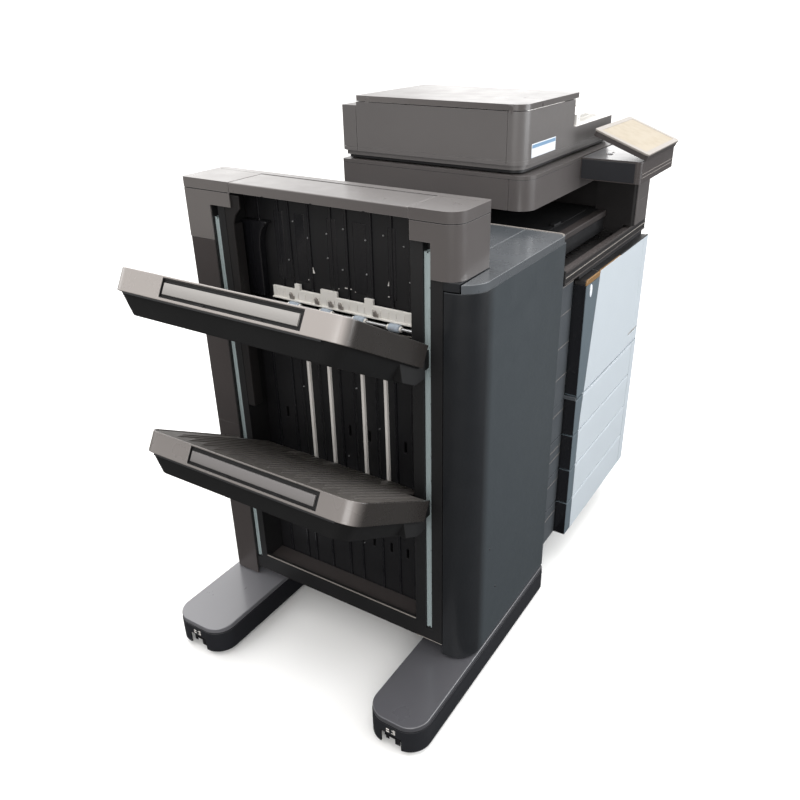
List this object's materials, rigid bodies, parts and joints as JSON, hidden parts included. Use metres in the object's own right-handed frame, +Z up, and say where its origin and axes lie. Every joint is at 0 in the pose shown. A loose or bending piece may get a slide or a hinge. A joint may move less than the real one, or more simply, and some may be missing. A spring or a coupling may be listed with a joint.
{
  "type": "floor-standing photocopier",
  "caption": "Floor-standing colour photocopier with document feeder, tilting touch screen, stacked paper drawers and a docked stapling finisher whose sloping trays climb on rails.",
  "frame": {"origin": "centre of the whole machine's floor area, on the floor", "axes": "+X to the operator's right, +Y towards the machine's back, +Z up"},
  "size_m": [1.2382, 0.728, 1.159],
  "materials": {
    "charcoal_plastic": "fine-grained moulded plastic",
    "warm_grey_plastic": "fine-grained moulded plastic",
    "slate_plastic": "satin moulded plastic",
    "black_plastic": "fine-grained moulded plastic",
    "pale_plastic": "satin moulded plastic",
    "cream_plastic": "semi-gloss moulded plastic",
    "frame_steel": "powder coated",
    "zinc_steel": "zinc plated",
    "bright_steel": "ground",
    "clear_glass": "polished",
    "black_rubber": "matt"
  },
  "bodies": {
    "machine": {"finisher_frame": "frame_steel", "finisher_front_foot": "charcoal_plastic", "finisher_rear_foot": "charcoal_plastic", "finisher_rear_cover": "slate_plastic", "finisher_top_cover": "slate_plastic", "upper_unit_housing": "warm_grey_plastic", "stack_wall": "black_plastic", "exit_guides": "cream_plastic", "lift_rails": "zinc_steel", "levelling_feet": "charcoal_plastic", "main_frame": "zinc_steel", "main_left_cover": "charcoal_plastic", "main_right_cover": "pale_plastic", "main_rear_cover": "charcoal_plastic", "right_column": "charcoal_plastic", "output_deck": "charcoal_plastic", "scanner_housing": "warm_grey_plastic", "platen_glass": "clear_glass", "control_panel": "charcoal_plastic", "toner_cartridges": "charcoal_plastic", "imaging_units": "black_plastic", "transfer_belt": "black_plastic", "fuser": "black_plastic", "laser_unit": "black_plastic", "bridge_unit": "charcoal_plastic", "power_supply": "zinc_steel"},
    "finisher_door": {"finisher_front_door": "slate_plastic"},
    "jam_cover": {"upper_jam_cover": "warm_grey_plastic"},
    "exit_shaft": {"exit_rollers": "bright_steel"},
    "tray_upper": {"upper_tray": "charcoal_plastic"},
    "tray_lower": {"lower_tray": "charcoal_plastic"},
    "stapling_head": {"stapler": "black_plastic"},
    "fork_fl": {"fork_front_left": "zinc_steel"},
    "fork_rl": {"fork_rear_left": "zinc_steel"},
    "wheel_fl": {"wheel_front_left": "black_rubber"},
    "wheel_rl": {"wheel_rear_left": "black_rubber"},
    "wheel_fr": {"wheel_front_right": "black_rubber"},
    "wheel_rr": {"wheel_rear_right": "black_rubber"},
    "main_fork_l": {"main_fork_left": "zinc_steel"},
    "main_fork_r": {"main_fork_right": "zinc_steel"},
    "main_wheel_fl": {"main_wheel_front_left": "black_rubber"},
    "main_wheel_fr": {"main_wheel_front_right": "black_rubber"},
    "main_wheel_rl": {"main_wheel_rear_left": "black_rubber"},
    "main_wheel_rr": {"main_wheel_rear_right": "black_rubber"},
    "toner_door": {"front_door": "pale_plastic"},
    "paper_1": {"drawer_1": "pale_plastic"},
    "paper_2": {"drawer_2": "pale_plastic"},
    "paper_3": {"drawer_3": "pale_plastic"},
    "paper_4": {"drawer_4": "pale_plastic"},
    "carriage": {"scan_carriage": "black_plastic"},
    "feeder": {"feeder_base": "warm_grey_plastic"},
    "feeder_lid": {"feeder_top_cover": "warm_grey_plastic"},
    "originals_tray": {"document_tray": "pale_plastic"},
    "guide_f": {"guide_front": "charcoal_plastic"},
    "guide_r": {"guide_rear": "charcoal_plastic"},
    "pick_roller": {"feed_roller": "bright_steel"},
    "screen": {"touch_screen": "cream_plastic"},
    "button": {"power_button": "cream_plastic"},
    "right_door": {"side_door": "pale_plastic"},
    "bypass": {"bypass_tray": "pale_plastic"}
  },
  "joints": [
    {"name": "finisher_door_hinge", "type": "hinge", "parent": "machine", "child": "finisher_door", "pos_m": [0.0371, -0.29, 0.49], "axis": [0, 0, 1], "range_deg": [0, 95]},
    {"name": "jam_cover_hinge", "type": "hinge", "parent": "machine", "child": "jam_cover", "pos_m": [-0.2554, 0.028, 1.037], "axis": [0, 1, 0], "range_deg": [0, 70]},
    {"name": "exit_roller_spin", "type": "hinge", "parent": "machine", "child": "exit_shaft", "pos_m": [-0.3089, 0.036, 0.8], "axis": [0, 1, 0], "continuous": true},
    {"name": "upper_tray_lift", "type": "slide", "parent": "machine", "child": "tray_upper", "axis": [0, 0, 1], "range_m": [-0.12, 0.008]},
    {"name": "lower_tray_lift", "type": "slide", "parent": "machine", "child": "tray_lower", "axis": [0, 0, 1], "range_m": [-0.24, 0.02]},
    {"name": "stapler_travel", "type": "slide", "parent": "machine", "child": "stapling_head", "axis": [0, 1, 0], "range_m": [0, 0.35]},
    {"name": "front_left_swivel", "type": "hinge", "parent": "machine", "child": "fork_fl", "pos_m": [-0.50391, -0.242, 0.06], "axis": [0, 0, 1], "continuous": true},
    {"name": "front_left_roll", "type": "hinge", "parent": "fork_fl", "child": "wheel_fl", "pos_m": [-0.4899, -0.242, 0.02], "axis": [0, 1, 0], "continuous": true},
    {"name": "rear_left_swivel", "type": "hinge", "parent": "machine", "child": "fork_rl", "pos_m": [-0.50391, 0.291, 0.06], "axis": [0, 0, 1], "continuous": true},
    {"name": "rear_left_roll", "type": "hinge", "parent": "fork_rl", "child": "wheel_rl", "pos_m": [-0.4899, 0.291, 0.02], "axis": [0, 1, 0], "continuous": true},
    {"name": "front_right_roll", "type": "hinge", "parent": "machine", "child": "wheel_fr", "pos_m": [-0.00391, -0.242, 0.02], "axis": [0, 1, 0], "continuous": true},
    {"name": "rear_right_roll", "type": "hinge", "parent": "machine", "child": "wheel_rr", "pos_m": [-0.00391, 0.291, 0.02], "axis": [0, 1, 0], "continuous": true},
    {"name": "main_front_left_swivel", "type": "hinge", "parent": "machine", "child": "main_fork_l", "pos_m": [0.12109, -0.209, 0.08], "axis": [0, 0, 1], "continuous": true},
    {"name": "main_front_left_roll", "type": "hinge", "parent": "main_fork_l", "child": "main_wheel_fl", "pos_m": [0.13909, -0.209, 0.033], "axis": [0, 1, 0], "continuous": true},
    {"name": "main_front_right_swivel", "type": "hinge", "parent": "machine", "child": "main_fork_r", "pos_m": [0.5561, -0.209, 0.08], "axis": [0, 0, 1], "continuous": true},
    {"name": "main_front_right_roll", "type": "hinge", "parent": "main_fork_r", "child": "main_wheel_fr", "pos_m": [0.5741, -0.209, 0.033], "axis": [0, 1, 0], "continuous": true},
    {"name": "main_rear_left_roll", "type": "hinge", "parent": "machine", "child": "main_wheel_rl", "pos_m": [0.12109, 0.256, 0.033], "axis": [0, 1, 0], "continuous": true},
    {"name": "main_rear_right_roll", "type": "hinge", "parent": "machine", "child": "main_wheel_rr", "pos_m": [0.5561, 0.256, 0.033], "axis": [0, 1, 0], "continuous": true},
    {"name": "front_door_hinge", "type": "hinge", "parent": "machine", "child": "toner_door", "pos_m": [0.3891, -0.309, 0.4965], "axis": [1, 0, 0], "range_deg": [0, 85]},
    {"name": "drawer_1_slide", "type": "slide", "parent": "machine", "child": "paper_1", "axis": [0, -1, 0], "range_m": [0, 0.4]},
    {"name": "drawer_2_slide", "type": "slide", "parent": "machine", "child": "paper_2", "axis": [0, -1, 0], "range_m": [0, 0.4]},
    {"name": "drawer_3_slide", "type": "slide", "parent": "machine", "child": "paper_3", "axis": [0, -1, 0], "range_m": [0, 0.4]},
    {"name": "drawer_4_slide", "type": "slide", "parent": "machine", "child": "paper_4", "axis": [0, -1, 0], "range_m": [0, 0.4]},
    {"name": "scan_travel", "type": "slide", "parent": "machine", "child": "carriage", "axis": [1, 0, 0], "range_m": [0, 0.43]},
    {"name": "feeder_hinge", "type": "hinge", "parent": "machine", "child": "feeder", "pos_m": [0.33109, 0.279, 1.034], "axis": [-1, 0, 0], "range_deg": [0, 65]},
    {"name": "feeder_lid_hinge", "type": "hinge", "parent": "feeder", "child": "feeder_lid", "pos_m": [0.0651, 0.017, 1.1545], "axis": [0, -1, 0], "range_deg": [0, 60]},
    {"name": "originals_tray_hinge", "type": "hinge", "parent": "feeder", "child": "originals_tray", "pos_m": [0.3671, 0.021, 1.1], "axis": [0, -1, 0], "range_deg": [0, 25]},
    {"name": "front_guide_slide", "type": "slide", "parent": "originals_tray", "child": "guide_f", "axis": [0, 1, 0], "range_m": [0, 0.1]},
    {"name": "rear_guide_slide", "type": "slide", "parent": "originals_tray", "child": "guide_r", "axis": [0, 1, 0], "range_m": [-0.1, 0]},
    {"name": "pick_roller_spin", "type": "hinge", "parent": "feeder", "child": "pick_roller", "pos_m": [0.27109, 0.017, 1.12], "axis": [0, 1, 0], "continuous": true},
    {"name": "screen_tilt", "type": "hinge", "parent": "machine", "child": "screen", "pos_m": [0.47609, -0.348, 1.024], "axis": [1, 0, 0], "range_deg": [-15, 40]},
    {"name": "button_press", "type": "slide", "parent": "machine", "child": "button", "axis": [0, 0, -1], "range_m": [0, 0.002], "stiffness_N_per_m": 400},
    {"name": "side_door_hinge", "type": "hinge", "parent": "machine", "child": "right_door", "pos_m": [0.6156, 0.1695, 0.647], "axis": [0, 0, 1], "range_deg": [0, 90]},
    {"name": "bypass_tray_hinge", "type": "hinge", "parent": "right_door", "child": "bypass", "pos_m": [0.61589, -0.029, 0.525], "axis": [0, 1, 0], "range_deg": [0, 70]}
  ],
  "couplings": [
    {"joint": "rear_guide_slide", "follows": "front_guide_slide", "ratio": -1}
  ]
}
